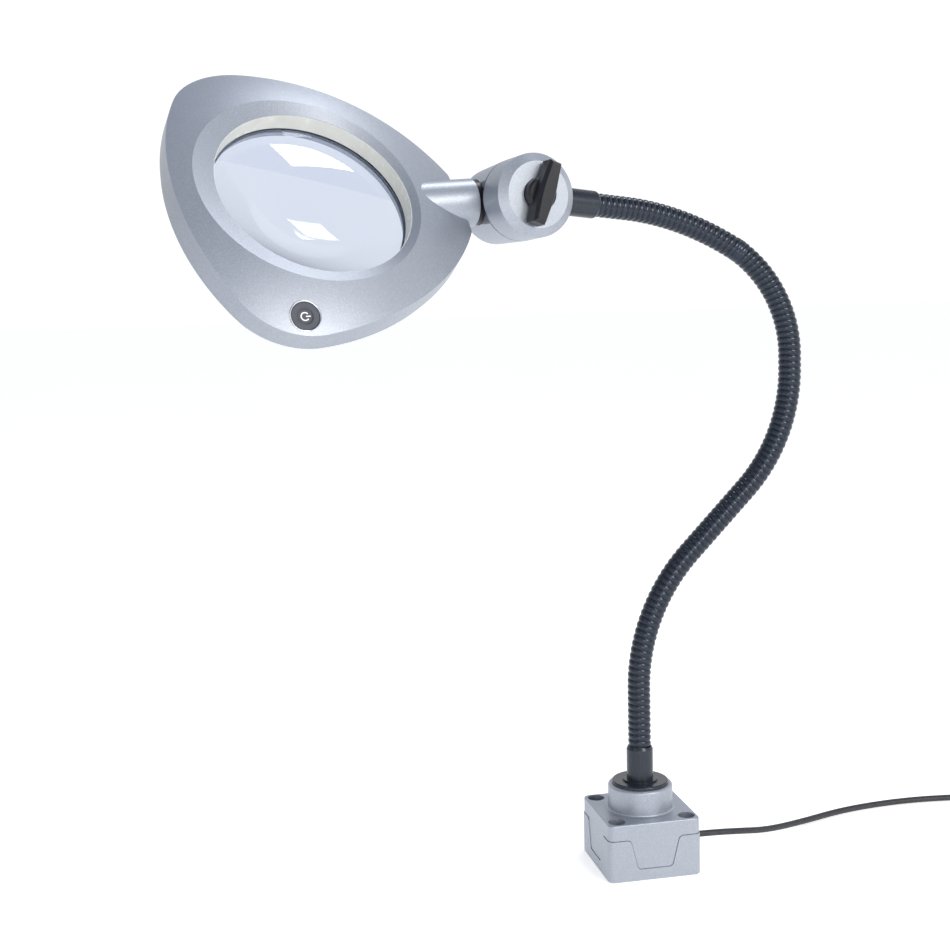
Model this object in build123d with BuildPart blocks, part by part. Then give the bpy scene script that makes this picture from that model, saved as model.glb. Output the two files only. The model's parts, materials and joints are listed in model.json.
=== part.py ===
"""Magnifying lamp: a bolt-down base, a gooseneck arm, a clamped tilt joint and a domed lens head.

Millimetres, +Z up. The origin is the centre of the base's underside, on the axis of the neck.
"""

from build123d import *

import os
from math import cos, pi, radians, sin, sqrt, tan

os.makedirs("parts", exist_ok=True)

# ---------------------------------------------------------------- driving dimensions

# Base
BASE_SIDE = 59.0
COVER_SIDE = 58.2
BASE_HEIGHT = 36.0
BASE_WALL = 3.0
BASE_CORNER = 4.0
SPLIT_HEIGHT = 26.0
SPLIT_GAP = 0.25
BOLT_SPACING = 44.5
BOLT_HOLE_RADIUS = 2.75
RECESS_RADIUS = 5.25
RECESS_DEPTH = 5.5
TONGUE_TOP_WIDTH = 31.0
TONGUE_FOOT_WIDTH = 21.5
TONGUE_FOOT_HEIGHT = 7.5
TONGUE_THICKNESS = 2.4
SHOULDER_RADIUS = 3.0
COVER_SCREW_X = 12.5
COVER_SCREW_Y = 19.5
COVER_BOSS_RADIUS = 3.4
COLLAR_RADIUS = 20.0
COLLAR_TOP = 51.9
FLANGE_RADIUS = 17.6
FLANGE_THICKNESS = 2.0
WASHER_RADIUS = 10.8

# Neck
FERRULE_RADIUS = 8.2
FERRULE_LENGTH = 21.5
STUD_RADIUS = 6.5
NECK_RADIUS = 7.1
NECK_BORE_RADIUS = 3.4
NECK_INSERTION = 9.0
WIRE_RADIUS = 1.6
NECK_CORNERS = [(0, 0, 161), (105.5, 14, 261.5), (107, 18, 356.5), (41, 22.5, 401)]
NECK_END = (-64.1, -2.0, 412.5)
NECK_BEND_RADII = [113, 104, 80, 150]
BEND_SECTION = 24.0
LOWER_BEND_HEIGHT = 93.0

# Tilt joint
JOINT_RADIUS = 24.4
JOINT_ROLL = 4.0
FRONT_WALL = 20.3
REAR_WALL = 33.0
REAR_DRAFT = 1.4
JOINT_CHAMFER_AXIAL = 3.5
JOINT_CHAMFER_RADIAL = 5.1
DISC_THICKNESS = 0.8
FERRULE_OFFSET = 11.4
BOSS_OFFSET = 16.2
PAD_DISTANCE = 20.8
PAD_RAISE = 1.6
CLAMP_BOLT_RADIUS = 4.0
RUNNING_CLEARANCE = 0.1

# Knob
HUB_RADIUS = 9.2
HUB_HEIGHT = 6.0
WING_LENGTH = 37.0
WING_HEIGHT = 14.0
WING_ANGLE = 76.0

# Head
HEAD_TILT = 9.3
HEAD_SWIVEL = 34.3
BOSS_RISE = 5.5
BOSS_RADIUS = 14.2
BOSS_END_DISTANCE = 24.8
BOSS_LENGTH = 27.0
BOSS_MERGE = 41.0
BOSS_REACH = 107.0
BOSS_DEPTH = 12.0
BORE_DEPTH = 28.0
DOME_RADIUS = 270.0
DISH_RADIUS = 65.5
DISH_DEPTH = 3.0
LENS_SHIFT = 4.3
OPENING_RADIUS = 57.3
HEAD_SIDE_RADIUS = 156.0
HEAD_TIP_RADIUS = 145.0
HEAD_CORNER = (-42.0, 94.4)
HEAD_CORNER_RADIUS = 45.0
NECK_TIP = 111.5
NECK_FLAT = 100.0
NECK_FLAT_CORNER = 4.0
SHELL_WALL = 2.5
SHELL_BOTTOM = -19.0
BACK_THICKNESS = 6.0
LENS_RADIUS = 60.0
LENS_EDGE = 4.0
LENS_TOP = -14.0
LENS_RISE = 6.0
LENS_RIM = 58.0
SEAT_HEIGHT = -13.4
LIGHT_INNER_RADIUS = 62.0
LIGHT_OUTER_RADIUS = 74.0
LED_COUNT = 36
HEAD_SCREWS = [(-50, 66), (-50, -66), (90, 21), (90, -21)]

# Button
BUTTON_PLACE = (-25.7, -83.2)
BEZEL_RADIUS = 8.8
CAP_RADIUS = 7.9
BUTTON_TRAVEL = 0.5

# Cable
CABLE_RADIUS = 2.0
CABLE_HEIGHT = 14.0
CABLE_LENGTH = 1800.0
COIL_MEAN_RADIUS = 22.0
COIL_WIDTH_TURNS = 3
COIL_HEIGHT_TURNS = 4


def save(piece, name):
    """Label a finished piece and write it to its own file."""
    piece.part.label = name
    export_step(piece.part, f"parts/{name}.step")


# ---------------------------------------------------------------- base

HALF_BOLT = BOLT_SPACING / 2
HALF_BASE = BASE_SIDE / 2
HALF_COVER = COVER_SIDE / 2
TONGUE_SIDES = (90, 180, 270)


def tongue(margin):
    """Outline of a cover tongue with flared shoulders, widened by a margin."""
    half_top = TONGUE_TOP_WIDTH / 2 + margin
    half_foot = TONGUE_FOOT_WIDTH / 2 + margin
    half_shoulder = half_top + 2 * SHOULDER_RADIUS
    shoulder = SPLIT_HEIGHT + SPLIT_GAP - margin
    with BuildSketch() as outline:
        with BuildLine():
            Polyline(
                (-half_shoulder, shoulder + 1),
                (-half_shoulder, shoulder),
                (-half_top, shoulder),
                (-half_foot, TONGUE_FOOT_HEIGHT - margin),
                (half_foot, TONGUE_FOOT_HEIGHT - margin),
                (half_top, shoulder),
                (half_shoulder, shoulder),
                (half_shoulder, shoulder + 1),
                close=True,
            )
        make_face()
        levels = vertices().group_by(Axis.Y)
        fillet(levels[0], 2.5 + margin)
        fillet(vertices().group_by(Axis.Y)[-2].sort_by(Axis.X)[1:3], SHOULDER_RADIUS)
    return outline.sketch


def side_plane(angle):
    """Upright plane on the Z axis whose normal points out through one side of the base."""
    return Plane(
        origin=(0, 0, 0),
        x_dir=(-sin(radians(angle)), cos(radians(angle)), 0),
        z_dir=(cos(radians(angle)), sin(radians(angle)), 0),
    )


with BuildPart() as base_housing:
    with BuildSketch():
        RectangleRounded(BASE_SIDE, BASE_SIDE, BASE_CORNER)
    extrude(amount=SPLIT_HEIGHT)
    chamfer(base_housing.faces().sort_by(Axis.Z)[0].edges(), 0.6)
    with BuildSketch(Plane.XY.offset(BASE_WALL)):
        RectangleRounded(BASE_SIDE - 2 * BASE_WALL, BASE_SIDE - 2 * BASE_WALL, 1.5)
    extrude(amount=SPLIT_HEIGHT, mode=Mode.SUBTRACT)
    with BuildSketch(Plane.XY.offset(1)):
        with GridLocations(BOLT_SPACING + 2, BOLT_SPACING + 2, 2, 2):
            RectangleRounded(11, 11, 2)
        with GridLocations(2 * COVER_SCREW_X, 2 * COVER_SCREW_Y, 2, 2):
            Circle(COVER_BOSS_RADIUS)
    extrude(amount=SPLIT_HEIGHT - 1)
    for side in TONGUE_SIDES:
        with BuildSketch(side_plane(side).offset(HALF_COVER - TONGUE_THICKNESS - 0.2)):
            add(tongue(0.2))
        extrude(amount=4, mode=Mode.SUBTRACT)
    with Locations((0, 0, SPLIT_HEIGHT)):
        with GridLocations(BOLT_SPACING, BOLT_SPACING, 2, 2):
            Hole(BOLT_HOLE_RADIUS)
        with GridLocations(2 * COVER_SCREW_X, 2 * COVER_SCREW_Y, 2, 2):
            Hole(1.6)
    with BuildSketch():
        with GridLocations(2 * COVER_SCREW_X, 2 * COVER_SCREW_Y, 2, 2):
            Circle(3.0)
    extrude(amount=2.2, mode=Mode.SUBTRACT)
    with BuildSketch(Plane.YZ.offset(HALF_BASE - BASE_WALL - 1)):
        with Locations((0, CABLE_HEIGHT)):
            Circle(4.5)
    extrude(amount=6, mode=Mode.SUBTRACT)
save(base_housing, "base_housing")

COVER_BOTTOM = SPLIT_HEIGHT + SPLIT_GAP
COVER_PLATE = 4.0
with BuildPart() as base_cover:
    with BuildSketch(Plane.XY.offset(COVER_BOTTOM)):
        RectangleRounded(COVER_SIDE, COVER_SIDE, BASE_CORNER)
    extrude(amount=BASE_HEIGHT - COVER_BOTTOM)
    fillet(base_cover.faces().sort_by(Axis.Z)[-1].edges(), 0.9)
    with BuildSketch(Plane.XY.offset(BASE_HEIGHT)):
        Circle(COLLAR_RADIUS)
    extrude(amount=COLLAR_TOP - BASE_HEIGHT)
    fillet(base_cover.edges().filter_by(GeomType.CIRCLE).group_by(Axis.Z)[-1], 1.6)
    collar_foot = base_cover.edges().filter_by(GeomType.CIRCLE).filter_by(
        lambda edge: abs(edge.radius - COLLAR_RADIUS) < 0.01
        and abs(edge.center().Z - BASE_HEIGHT) < 0.01
    )
    fillet(collar_foot, 1.2)
    with BuildSketch(Plane.XY.offset(COVER_BOTTOM)):
        RectangleRounded(COVER_SIDE - 2 * BASE_WALL, COVER_SIDE - 2 * BASE_WALL, 1.5)
        with GridLocations(BOLT_SPACING + 2, BOLT_SPACING + 2, 2, 2):
            RectangleRounded(12.6, 12.6, 2, mode=Mode.SUBTRACT)
        with GridLocations(2 * COVER_SCREW_X, 2 * COVER_SCREW_Y, 2, 2):
            Circle(COVER_BOSS_RADIUS, mode=Mode.SUBTRACT)
    extrude(amount=BASE_HEIGHT - COVER_BOTTOM - COVER_PLATE, mode=Mode.SUBTRACT)
    with BuildSketch(Plane.XY.offset(BASE_HEIGHT - COVER_PLATE - 1)):
        Circle(COLLAR_RADIUS - 5)
    extrude(amount=COLLAR_TOP - BASE_HEIGHT, mode=Mode.SUBTRACT)
    with BuildSketch(Plane.XY.offset(BASE_HEIGHT)):
        Circle(STUD_RADIUS + RUNNING_CLEARANCE)
    extrude(amount=COLLAR_TOP, mode=Mode.SUBTRACT)
    for side in TONGUE_SIDES:
        with BuildSketch(side_plane(side).offset(HALF_COVER - TONGUE_THICKNESS)):
            add(tongue(0))
        extrude(amount=TONGUE_THICKNESS)
    with Locations((0, 0, BASE_HEIGHT)):
        with GridLocations(BOLT_SPACING, BOLT_SPACING, 2, 2):
            CounterBoreHole(BOLT_HOLE_RADIUS, RECESS_RADIUS, RECESS_DEPTH)
    with Locations(Plane.XY.offset(COVER_BOTTOM) * Rotation(180, 0, 0)):
        with GridLocations(2 * COVER_SCREW_X, 2 * COVER_SCREW_Y, 2, 2):
            Hole(1.55, depth=7.5)
save(base_cover, "base_cover")

with BuildPart() as base_cover_screws:
    with BuildSketch(Plane.XY.offset(0.3)):
        with GridLocations(2 * COVER_SCREW_X, 2 * COVER_SCREW_Y, 2, 2):
            Circle(2.8)
    extrude(amount=1.9)
    with BuildSketch(Plane.XY.offset(2.2)):
        with GridLocations(2 * COVER_SCREW_X, 2 * COVER_SCREW_Y, 2, 2):
            Circle(1.5)
    extrude(amount=30)
    with BuildSketch(Plane.XY.offset(0.3)):
        with GridLocations(2 * COVER_SCREW_X, 2 * COVER_SCREW_Y, 2, 2):
            RegularPolygon(1.3, 6)
    extrude(amount=1.2, mode=Mode.SUBTRACT)
save(base_cover_screws, "base_cover_screws")

with BuildPart() as cable_grommet:
    with BuildSketch(Plane.XZ):
        with BuildLine():
            Polyline(
                (22.5, 0),
                (22.5, 4.4),
                (HALF_BASE - BASE_WALL - 0.2, 5.6),
                (HALF_BASE - BASE_WALL - 0.2, 4.4),
                (HALF_BASE + 0.1, 4.4),
                (HALF_BASE + 0.1, 3.4),
                (HALF_BASE + 2, 2.8),
                (HALF_BASE + 2, 0),
                close=True,
            )
        make_face()
    revolve(axis=Axis.X)
    with BuildSketch(Plane.YZ.offset(20)):
        Circle(CABLE_RADIUS)
    extrude(amount=HALF_BASE, mode=Mode.SUBTRACT)
cable_grommet.part.locate(Location((0, 0, CABLE_HEIGHT)))
save(cable_grommet, "cable_grommet")

with BuildPart() as cable_clip:
    with BuildSketch(Plane.YZ.offset(12)):
        with Locations((0, BASE_WALL + 5.6)):
            Rectangle(15, 11.2)
        with Locations((0, CABLE_HEIGHT)):
            Circle(CABLE_RADIUS + 0.1, mode=Mode.SUBTRACT)
    extrude(amount=5)
    fillet(cable_clip.edges().filter_by(Axis.X).group_by(Axis.Z)[-1], 1.2)
save(cable_clip, "cable_clip")

with BuildPart() as terminal_block:
    with BuildSketch(Plane.XY.offset(BASE_WALL)):
        with Locations((-12, 0)):
            Rectangle(10, 18)
    extrude(amount=9)
    with Locations(Plane.XY.offset(BASE_WALL + 9)):
        with Locations((-12, -4.5), (-12, 4.5)):
            Hole(2.0, depth=5)
    with BuildSketch(Plane.YZ.offset(-7)):
        with Locations((-4.5, BASE_WALL + 4.5), (4.5, BASE_WALL + 4.5)):
            Rectangle(4, 4)
    extrude(amount=-3, mode=Mode.SUBTRACT)
    chamfer(terminal_block.faces().sort_by(Axis.Z)[-1].outer_wire().edges(), 0.6)
save(terminal_block, "terminal_block")

# ---------------------------------------------------------------- neck

FLANGE_TOP = COLLAR_TOP + FLANGE_THICKNESS
FERRULE_TOP = FLANGE_TOP + FERRULE_LENGTH

with BuildPart() as neck_flange:
    with BuildSketch(Plane.XY.offset(COLLAR_TOP)):
        Circle(FLANGE_RADIUS)
        Circle(STUD_RADIUS + RUNNING_CLEARANCE, mode=Mode.SUBTRACT)
    extrude(amount=FLANGE_THICKNESS)
    with BuildSketch(Plane.XY.offset(FLANGE_TOP)):
        Circle(WASHER_RADIUS)
        Circle(FERRULE_RADIUS + 0.05, mode=Mode.SUBTRACT)
    extrude(amount=0.9)
    outer_edges = neck_flange.edges().filter_by(GeomType.CIRCLE).group_by(SortBy.RADIUS)[-1]
    fillet(outer_edges.sort_by(Axis.Z)[-1], 1.0)
save(neck_flange, "neck_flange")


def ferrule(stud_length):
    """Sleeve profile along +Z from its shoulder: a reduced stud below, a socket for the neck above."""
    bore = NECK_BORE_RADIUS
    socket_floor = FERRULE_LENGTH - NECK_INSERTION
    with BuildPart() as sleeve:
        with BuildSketch(Plane.XZ):
            with BuildLine():
                Polyline(
                    (bore, -stud_length),
                    (STUD_RADIUS, -stud_length),
                    (STUD_RADIUS, 0),
                    (FERRULE_RADIUS, 0),
                    (FERRULE_RADIUS, FERRULE_LENGTH - 1.5),
                    (FERRULE_RADIUS - 0.8, FERRULE_LENGTH),
                    (NECK_RADIUS, FERRULE_LENGTH),
                    (NECK_RADIUS, socket_floor),
                    (bore, socket_floor),
                    close=True,
                )
            make_face()
        revolve(axis=Axis.Z)
        rim = sleeve.edges().filter_by(GeomType.CIRCLE).group_by(SortBy.RADIUS)[-1]
        fillet(rim.sort_by(Axis.Z)[-1], 1.2)
    return sleeve


STUD_BOTTOM = 38.0
lower_ferrule = ferrule(FLANGE_TOP - STUD_BOTTOM)
lower_ferrule.part.locate(Location((0, 0, FLANGE_TOP)))
save(lower_ferrule, "lower_ferrule")

with BuildPart() as ferrule_lock_nut:
    with BuildSketch(Plane.XY.offset(COLLAR_TOP - COVER_PLATE - 6.1)):
        RegularPolygon(11, 6)
        Circle(STUD_RADIUS, mode=Mode.SUBTRACT)
    extrude(amount=5)
save(ferrule_lock_nut, "ferrule_lock_nut")

# The arm's centre line: straight runs joined by tangent arcs.
corner_points = [Vector(*corner) for corner in NECK_CORNERS]
neck_start = Vector(0, 0, FERRULE_TOP - NECK_INSERTION)
neck_end = Vector(*NECK_END)
end_run = (neck_end - corner_points[-1]).normalized()
ferrule_tip = neck_end - end_run * (JOINT_RADIUS - 1.5)
neck_finish = ferrule_tip - end_run * (FERRULE_LENGTH - NECK_INSERTION)

middle_run = (corner_points[1] - corner_points[0]).normalized()
first_turn = radians(Vector(0, 0, 1).get_angle(middle_run))
second_turn = radians(middle_run.get_angle(corner_points[2] - corner_points[1]))
run_low = NECK_BEND_RADII[0] * tan(first_turn / 2)
run_high = (corner_points[1] - corner_points[0]).length - NECK_BEND_RADII[1] * tan(second_turn / 2)
upper_bend_middle = corner_points[0] + middle_run * (run_low + run_high) / 2
upper_bend_start = upper_bend_middle - middle_run * BEND_SECTION / 2
upper_bend_end = upper_bend_middle + middle_run * BEND_SECTION / 2
lower_bend_middle = Vector(0, 0, LOWER_BEND_HEIGHT)
lower_bend_start = lower_bend_middle - Vector(0, 0, BEND_SECTION / 2)
lower_bend_end = lower_bend_middle + Vector(0, 0, BEND_SECTION / 2)


def neck_tube(points, radii, outer, bore):
    """Tube along straight runs with tangent arcs at the corners."""
    with BuildPart() as tube:
        with BuildLine() as path:
            if radii:
                FilletPolyline(*points, radius=radii)
            else:
                Line(*points)
        start = path.line @ 0
        with BuildSketch(Plane(origin=start, z_dir=path.line % 0)):
            Circle(outer)
            if bore:
                Circle(bore, mode=Mode.SUBTRACT)
        sweep(path=path.line)
    return tube


gooseneck_foot = neck_tube([neck_start, lower_bend_start], None, NECK_RADIUS, NECK_BORE_RADIUS)
save(gooseneck_foot, "gooseneck_foot")
gooseneck_lower_bend = neck_tube([lower_bend_start, lower_bend_end], None, NECK_RADIUS, NECK_BORE_RADIUS)
save(gooseneck_lower_bend, "gooseneck_lower_bend")
gooseneck_middle = neck_tube(
    [lower_bend_end, corner_points[0], upper_bend_start],
    [NECK_BEND_RADII[0]],
    NECK_RADIUS,
    NECK_BORE_RADIUS,
)
save(gooseneck_middle, "gooseneck_middle")
gooseneck_upper_bend = neck_tube([upper_bend_start, upper_bend_end], None, NECK_RADIUS, NECK_BORE_RADIUS)
save(gooseneck_upper_bend, "gooseneck_upper_bend")
gooseneck_top = neck_tube(
    [upper_bend_end, *corner_points[1:], neck_finish],
    NECK_BEND_RADII[1:],
    NECK_RADIUS,
    NECK_BORE_RADIUS,
)
save(gooseneck_top, "gooseneck_top")

neck_wire_lower = neck_tube(
    [Vector(0, 0, 30), corner_points[0], upper_bend_start],
    [NECK_BEND_RADII[0]],
    WIRE_RADIUS,
    None,
)
save(neck_wire_lower, "neck_wire_lower")
neck_wire_upper = neck_tube(
    [upper_bend_start, *corner_points[1:], ferrule_tip],
    NECK_BEND_RADII[1:],
    WIRE_RADIUS,
    None,
)
save(neck_wire_upper, "neck_wire_upper")

upper_ferrule = ferrule(7)
upper_ferrule.part.locate(Plane(origin=ferrule_tip, z_dir=-end_run).location)
save(upper_ferrule, "upper_ferrule")

# ---------------------------------------------------------------- tilt joint

level_axis = Vector(0, 0, 1).cross(end_run).normalized()
tilt_axis = level_axis.rotate(Axis((0, 0, 0), end_run), JOINT_ROLL)
joint_centre = neck_end - tilt_axis * FERRULE_OFFSET
joint_plane = Plane(origin=joint_centre, x_dir=-end_run, z_dir=tilt_axis)
joint_section = Plane(origin=joint_centre, x_dir=-end_run, z_dir=tilt_axis.cross(end_run))
front_face = FRONT_WALL + JOINT_CHAMFER_AXIAL
rear_face = -REAR_WALL - JOINT_CHAMFER_AXIAL
half_disc = DISC_THICKNESS / 2
neck_direction = end_run.rotate(Axis((0, 0, 0), tilt_axis), HEAD_TILT)
pad_lift = neck_direction.cross(tilt_axis) * PAD_RAISE
pad_plane = Plane(
    origin=joint_centre - tilt_axis * BOSS_OFFSET + neck_direction * PAD_DISTANCE + pad_lift,
    x_dir=tilt_axis,
    z_dir=neck_direction,
)
BOLT_BORE = CLAMP_BOLT_RADIUS + RUNNING_CLEARANCE
INNER_BOSS_RADIUS = 8.5
POCKET_RADIUS = JOINT_RADIUS - 4.5
DISC_TRAY = 1.2


def joint_profile(near, wall, face, draft):
    """Half section of one half of the tilt joint, from its seam face to its chamfered outer face."""
    wall_radius = JOINT_RADIUS - draft
    seam_edge = 0.5 if face > 0 else -0.5
    with BuildSketch() as profile:
        with BuildLine():
            Polyline(
                (0, near),
                (JOINT_RADIUS - 0.5, near),
                (JOINT_RADIUS, near + seam_edge),
                (wall_radius, wall),
                (wall_radius - JOINT_CHAMFER_RADIAL, face),
                (0, face),
                close=True,
            )
        make_face()
    return profile.sketch


with BuildPart() as joint_front_housing:
    with BuildSketch(joint_section):
        add(joint_profile(half_disc, FRONT_WALL, front_face, 0))
    revolve(axis=Axis(joint_centre, tilt_axis))
    with BuildSketch(joint_plane.offset(half_disc)):
        Circle(POCKET_RADIUS)
        Circle(INNER_BOSS_RADIUS, mode=Mode.SUBTRACT)
    extrude(amount=FRONT_WALL - 3, mode=Mode.SUBTRACT)
    with BuildSketch(Plane(origin=ferrule_tip - end_run * 4, z_dir=end_run)):
        Circle(STUD_RADIUS + 0.05)
    extrude(amount=12, mode=Mode.SUBTRACT)
    with BuildSketch(Plane(origin=ferrule_tip - end_run * 4, z_dir=end_run)):
        Circle(FERRULE_RADIUS + 0.05)
    extrude(amount=4, mode=Mode.SUBTRACT)
    with BuildSketch(joint_plane.offset(-1)):
        Circle(BOLT_BORE)
    extrude(amount=front_face + 2, mode=Mode.SUBTRACT)
    with BuildSketch(joint_plane.offset(front_face - 1.6)):
        Circle(HUB_RADIUS + 0.4)
    extrude(amount=3, mode=Mode.SUBTRACT)
save(joint_front_housing, "joint_front_housing")

with BuildPart() as friction_disc:
    with BuildSketch(joint_plane.offset(-half_disc)):
        Circle(JOINT_RADIUS - DISC_TRAY)
        Circle(BOLT_BORE, mode=Mode.SUBTRACT)
    extrude(amount=DISC_THICKNESS)
save(friction_disc, "friction_disc")

SPINDLE_RADIUS = 8.0
SPINDLE_BORE = 4.5
with BuildPart() as joint_rear_housing:
    with BuildSketch(joint_section):
        add(joint_profile(-half_disc, -REAR_WALL, rear_face, REAR_DRAFT))
    revolve(axis=Axis(joint_centre, tilt_axis))
    with BuildSketch(joint_plane.offset(-half_disc)):
        Circle(POCKET_RADIUS - 1.5)
        Circle(INNER_BOSS_RADIUS, mode=Mode.SUBTRACT)
    extrude(amount=-REAR_WALL + 3, mode=Mode.SUBTRACT)
    with BuildSketch(pad_plane.offset(-6)):
        Circle(BOSS_RADIUS - 0.5)
    extrude(amount=6)
    with BuildSketch(pad_plane):
        Rectangle(4 * JOINT_RADIUS, 4 * JOINT_RADIUS)
    extrude(amount=JOINT_RADIUS, mode=Mode.SUBTRACT)
    with BuildSketch(pad_plane.offset(-8)):
        Circle(SPINDLE_RADIUS + 0.05)
    extrude(amount=8, mode=Mode.SUBTRACT)
    with BuildSketch(joint_plane.offset(1)):
        Circle(BOLT_BORE)
    extrude(amount=-REAR_WALL - 1 + 3, mode=Mode.SUBTRACT)
    with BuildSketch(joint_plane.offset(-REAR_WALL + 3)):
        RegularPolygon(7.6, 6)
    extrude(amount=-6, mode=Mode.SUBTRACT)
save(joint_rear_housing, "joint_rear_housing")

BOLT_HEAD_PLACE = -REAR_WALL + 2.9
BOLT_TIP = front_face + 9
with BuildPart() as clamp_bolt:
    with BuildSketch(joint_plane.offset(BOLT_HEAD_PLACE)):
        RegularPolygon(7.4, 6)
    extrude(amount=-5)
    with BuildSketch(joint_plane.offset(BOLT_HEAD_PLACE)):
        Circle(CLAMP_BOLT_RADIUS)
    extrude(amount=BOLT_TIP - BOLT_HEAD_PLACE)
    chamfer(clamp_bolt.faces().sort_by(Axis(joint_centre, tilt_axis))[-1].edges(), 0.8)
save(clamp_bolt, "clamp_bolt")

WASHER_PLACE = front_face - 1.5
with BuildPart() as spring_washer:
    with BuildSketch(joint_plane.offset(WASHER_PLACE)):
        Circle(8.2)
        Circle(BOLT_BORE + 0.1, mode=Mode.SUBTRACT)
    extrude(amount=1.3)
save(spring_washer, "spring_washer")

# ---------------------------------------------------------------- wing knob

KNOB_PLACE = front_face - 0.1
INSERT_RADIUS = 6.0
INSERT_LENGTH = 4.6
knob_plane = joint_plane.offset(KNOB_PLACE)


def wing(shrink):
    """Long outline of the wing: widest over the bolt and narrower at both ends."""
    half = WING_LENGTH / 2 - shrink
    middle = 5.2 - shrink
    tip = 3.6 - shrink * 0.6
    with BuildSketch() as outline:
        with BuildLine():
            Polyline(
                (half, -tip),
                (half, tip),
                (4, middle),
                (-4, middle),
                (-half, tip),
                (-half, -tip),
                (-4, -middle),
                (4, -middle),
                close=True,
            )
        make_face()
    return outline.sketch.rotate(Axis.Z, WING_ANGLE)


with BuildPart() as wing_knob:
    with BuildSketch(knob_plane):
        Circle(HUB_RADIUS)
    extrude(amount=HUB_HEIGHT)
    chamfer(wing_knob.faces().sort_by(Axis(joint_centre, tilt_axis))[-1].edges(), 1.2)
    with BuildSketch(knob_plane.offset(2)):
        add(wing(0))
    extrude(amount=WING_HEIGHT - 5)
    with BuildSketch(knob_plane.offset(WING_HEIGHT - 3)):
        add(wing(0))
    with BuildSketch(knob_plane.offset(WING_HEIGHT)):
        add(wing(1.6))
    loft()
    with BuildSketch(knob_plane):
        Circle(INSERT_RADIUS)
    extrude(amount=INSERT_LENGTH + 0.4, mode=Mode.SUBTRACT)
    with BuildSketch(knob_plane):
        Circle(BOLT_BORE)
    extrude(amount=BOLT_TIP - KNOB_PLACE + 0.3, mode=Mode.SUBTRACT)
save(wing_knob, "wing_knob")

with BuildPart() as knob_insert:
    with BuildSketch(knob_plane.offset(0.2)):
        RegularPolygon(INSERT_RADIUS - 0.02, 12)
        Circle(BOLT_BORE, mode=Mode.SUBTRACT)
    extrude(amount=INSERT_LENGTH)
save(knob_insert, "knob_insert")

# ---------------------------------------------------------------- swivel between joint and head

RING_THICKNESS = BOSS_END_DISTANCE - PAD_DISTANCE - 0.3
with BuildPart() as swivel_ring:
    with BuildSketch(pad_plane):
        Circle(BOSS_RADIUS - 0.9)
        Circle(SPINDLE_RADIUS + 0.05, mode=Mode.SUBTRACT)
    extrude(amount=RING_THICKNESS)
save(swivel_ring, "swivel_ring")

SPINDLE_REACH = 27.0
CLIP_PLACE = 20.0
with BuildPart() as swivel_spindle:
    with BuildSketch(pad_plane.offset(-7)):
        Circle(SPINDLE_RADIUS)
        Circle(SPINDLE_BORE, mode=Mode.SUBTRACT)
    extrude(amount=7 + SPINDLE_REACH)
    with BuildSketch(pad_plane.offset(CLIP_PLACE)):
        Circle(SPINDLE_RADIUS + 1)
        Circle(SPINDLE_RADIUS - 0.9, mode=Mode.SUBTRACT)
    extrude(amount=1.6, mode=Mode.SUBTRACT)
save(swivel_spindle, "swivel_spindle")

with BuildPart() as spindle_clip:
    with BuildSketch(pad_plane.offset(CLIP_PLACE + 0.2)):
        Circle(SPINDLE_RADIUS + 1)
        Circle(SPINDLE_RADIUS - 0.75, mode=Mode.SUBTRACT)
        with Locations((SPINDLE_RADIUS, 0)):
            Rectangle(6, 5, mode=Mode.SUBTRACT)
    extrude(amount=1.2)
save(spindle_clip, "spindle_clip")

# ---------------------------------------------------------------- head

swivel_normal = tilt_axis.rotate(Axis((0, 0, 0), neck_direction), HEAD_SWIVEL)
rise = radians(BOSS_RISE)
head_x = (neck_direction * -cos(rise) - swivel_normal * sin(rise)).normalized()
head_z = (swivel_normal * cos(rise) - neck_direction * sin(rise)).normalized()
boss_end = pad_plane.origin + neck_direction * (BOSS_END_DISTANCE - PAD_DISTANCE)
head_origin = boss_end - head_x * BOSS_REACH + head_z * BOSS_DEPTH
head_plane = Plane(origin=head_origin, x_dir=head_x, z_dir=head_z)
dome_drop = sqrt(DOME_RADIUS**2 - DISH_RADIUS**2)
BACK_BOTTOM = SHELL_BOTTOM - BACK_THICKNESS


boss_plane = Plane(
    origin=(BOSS_REACH, 0, -BOSS_DEPTH),
    x_dir=(0, 1, 0),
    z_dir=(-cos(rise), 0, -sin(rise)),
)


def place_in_head(piece, name):
    """Move a piece modelled in the head's own frame to its place, and save it."""
    piece.part.locate(head_plane.location)
    save(piece, name)


# Centres of the arcs that bound the head: two bulging sides and the far end.
corner_x, corner_y = HEAD_CORNER
side_chord = Vector(NECK_TIP - corner_x, corner_y)
side_middle = Vector((NECK_TIP + corner_x) / 2, -corner_y / 2)
side_inward = Vector(-corner_y, NECK_TIP - corner_x).normalized()
side_centre = side_middle + side_inward * sqrt(HEAD_SIDE_RADIUS**2 - side_chord.length**2 / 4)
tip_centre_x = corner_x + sqrt(HEAD_TIP_RADIUS**2 - corner_y**2)


def head_outline(inset):
    """Rounded triangle with bulging sides and a flat at the neck, drawn smaller by an inset."""
    with BuildSketch() as outline:
        with Locations((side_centre.X, side_centre.Y)):
            Circle(HEAD_SIDE_RADIUS - inset)
        with Locations((side_centre.X, -side_centre.Y)):
            Circle(HEAD_SIDE_RADIUS - inset, mode=Mode.INTERSECT)
        with Locations((tip_centre_x, 0)):
            Circle(HEAD_TIP_RADIUS - inset, mode=Mode.INTERSECT)
        fillet(vertices().group_by(Axis.X)[0], HEAD_CORNER_RADIUS - inset)
        with Locations((NECK_FLAT - inset - NECK_TIP, 0)):
            Rectangle(2 * NECK_TIP, 4 * corner_y, mode=Mode.INTERSECT)
        fillet(vertices().group_by(Axis.X)[-1], NECK_FLAT_CORNER - inset)
    return outline.sketch


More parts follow.
